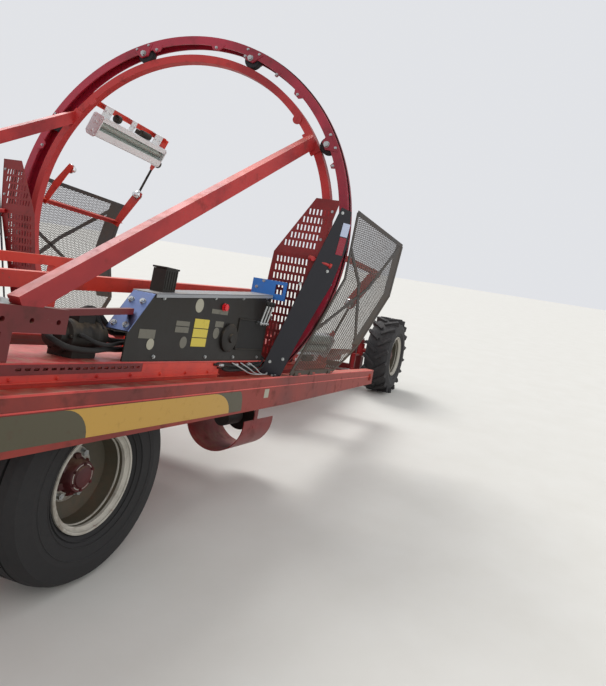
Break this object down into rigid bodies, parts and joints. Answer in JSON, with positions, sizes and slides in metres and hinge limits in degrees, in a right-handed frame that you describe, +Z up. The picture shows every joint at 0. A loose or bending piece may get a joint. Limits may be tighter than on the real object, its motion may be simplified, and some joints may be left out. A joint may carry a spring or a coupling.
{
  "type": "towed in-line round bale wrapper",
  "caption": "Towed farm machine that pushes round bales through a turning ring with two film carriers; wheeled frame with side beams, bale trough, pusher, guards and drawbar.",
  "frame": {"origin": "on the ground, under the middle of the machine's box", "axes": "+X forward, towards the hitch; +Y to the machine's left; +Z up"},
  "size_m": [7.9378, 2.6142, 2.7119],
  "materials": {
    "red_paint": "semi-gloss, weathered",
    "black_paint": "semi-gloss",
    "plated_steel": "satin",
    "aluminium": "satin",
    "roller_plastic": "matt",
    "mesh_steel": "matt, weathered",
    "tyre_rubber": "matt, dusty",
    "rim_paint": "satin, dusty"
  },
  "bodies": {
    "frame": {"left_beam": "red_paint", "right_beam": "red_paint", "cross_members": "red_paint", "front_table": "red_paint", "rear_table": "red_paint", "wheel_decks": "red_paint", "slotted_rails": "red_paint", "hoop": "red_paint", "left_brace": "red_paint", "right_brace": "red_paint", "brace_mounts": "red_paint", "guide_tubes": "red_paint", "left_ring_guard": "red_paint", "right_ring_guard": "red_paint", "left_strip": "black_paint", "right_strip": "black_paint", "ring_drive": "black_paint", "drive_guard": "red_paint", "control_box": "black_paint", "control_levers": "plated_steel", "control_bracket": "plated_steel", "feed_motor": "black_paint", "engine": "black_paint", "oil_tank": "red_paint", "front_axle": "red_paint", "rear_axle": "red_paint"},
    "ring": {"ring": "red_paint", "ring_rollers": "roller_plastic", "carrier_arms": "red_paint", "stretchers": "aluminium", "roll_cones": "plated_steel"},
    "pusher": {"pusher": "red_paint"},
    "tongue": {"tongue": "red_paint"},
    "left_guard": {"left_mesh_guard": "mesh_steel"},
    "right_guard": {"right_mesh_guard": "mesh_steel"},
    "left_knuckle": {"left_knuckle": "red_paint"},
    "right_knuckle": {"right_knuckle": "red_paint"},
    "tie_rod": {"tie_rod": "plated_steel"},
    "left_front_wheel": {"left_front_tyre": "tyre_rubber", "left_front_rim": "rim_paint"},
    "right_front_wheel": {"right_front_tyre": "tyre_rubber", "right_front_rim": "rim_paint"},
    "left_rear_wheel": {"left_rear_tyre": "tyre_rubber", "left_rear_rim": "rim_paint"},
    "right_rear_wheel": {"right_rear_tyre": "tyre_rubber", "right_rear_rim": "rim_paint"}
  },
  "joints": [
    {"name": "ring_spin", "type": "hinge", "parent": "frame", "child": "ring", "pos_m": [-0.77775, 0, 1.46381], "axis": [0.9925, 0, 0.1219], "continuous": true},
    {"name": "pusher_slide", "type": "slide", "parent": "frame", "child": "pusher", "axis": [-0.9925, 0, -0.1219], "range_m": [0, 1.95]},
    {"name": "tongue_hinge", "type": "hinge", "parent": "frame", "child": "tongue", "pos_m": [2.26817, 0, 0.86304], "axis": [0, 1, 0], "range_deg": [-25, 8]},
    {"name": "left_guard_hinge", "type": "hinge", "parent": "frame", "child": "left_guard", "pos_m": [-1.37272, 1.054, 0.56561], "axis": [-0.9925, 0, -0.1219], "range_deg": [0, 65]},
    {"name": "right_guard_hinge", "type": "hinge", "parent": "frame", "child": "right_guard", "pos_m": [-1.37272, -1.054, 0.56561], "axis": [0.9925, 0, 0.1219], "range_deg": [0, 65]},
    {"name": "left_steer", "type": "hinge", "parent": "frame", "child": "left_knuckle", "pos_m": [-3.56891, 0.56, 0.4], "axis": [-0.1219, 0, 0.9925], "range_deg": [-20, 20]},
    {"name": "right_steer", "type": "hinge", "parent": "frame", "child": "right_knuckle", "pos_m": [-3.56891, -0.56, 0.4], "axis": [-0.1219, 0, 0.9925], "range_deg": [-20, 20]},
    {"name": "tie_rod_pivot", "type": "hinge", "parent": "left_knuckle", "child": "tie_rod", "pos_m": [-3.35421, 0.56, 0.21048], "axis": [-0.1219, 0, 0.9925], "range_deg": [-20, 20]},
    {"name": "left_front_spin", "type": "hinge", "parent": "frame", "child": "left_front_wheel", "pos_m": [0.76215, 0.78, 0.41], "axis": [0, 1, 0], "continuous": true},
    {"name": "right_front_spin", "type": "hinge", "parent": "frame", "child": "right_front_wheel", "pos_m": [0.76215, -0.78, 0.41], "axis": [0, 1, 0], "continuous": true},
    {"name": "left_rear_spin", "type": "hinge", "parent": "left_knuckle", "child": "left_rear_wheel", "pos_m": [-3.56891, 0.84, 0.4], "axis": [0, 1, 0], "continuous": true},
    {"name": "right_rear_spin", "type": "hinge", "parent": "right_knuckle", "child": "right_rear_wheel", "pos_m": [-3.56891, -0.84, 0.4], "axis": [0, 1, 0], "continuous": true}
  ],
  "couplings": [
    {"joint": "right_steer", "follows": "left_steer", "ratio": 1},
    {"joint": "tie_rod_pivot", "follows": "left_steer", "ratio": -1}
  ]
}
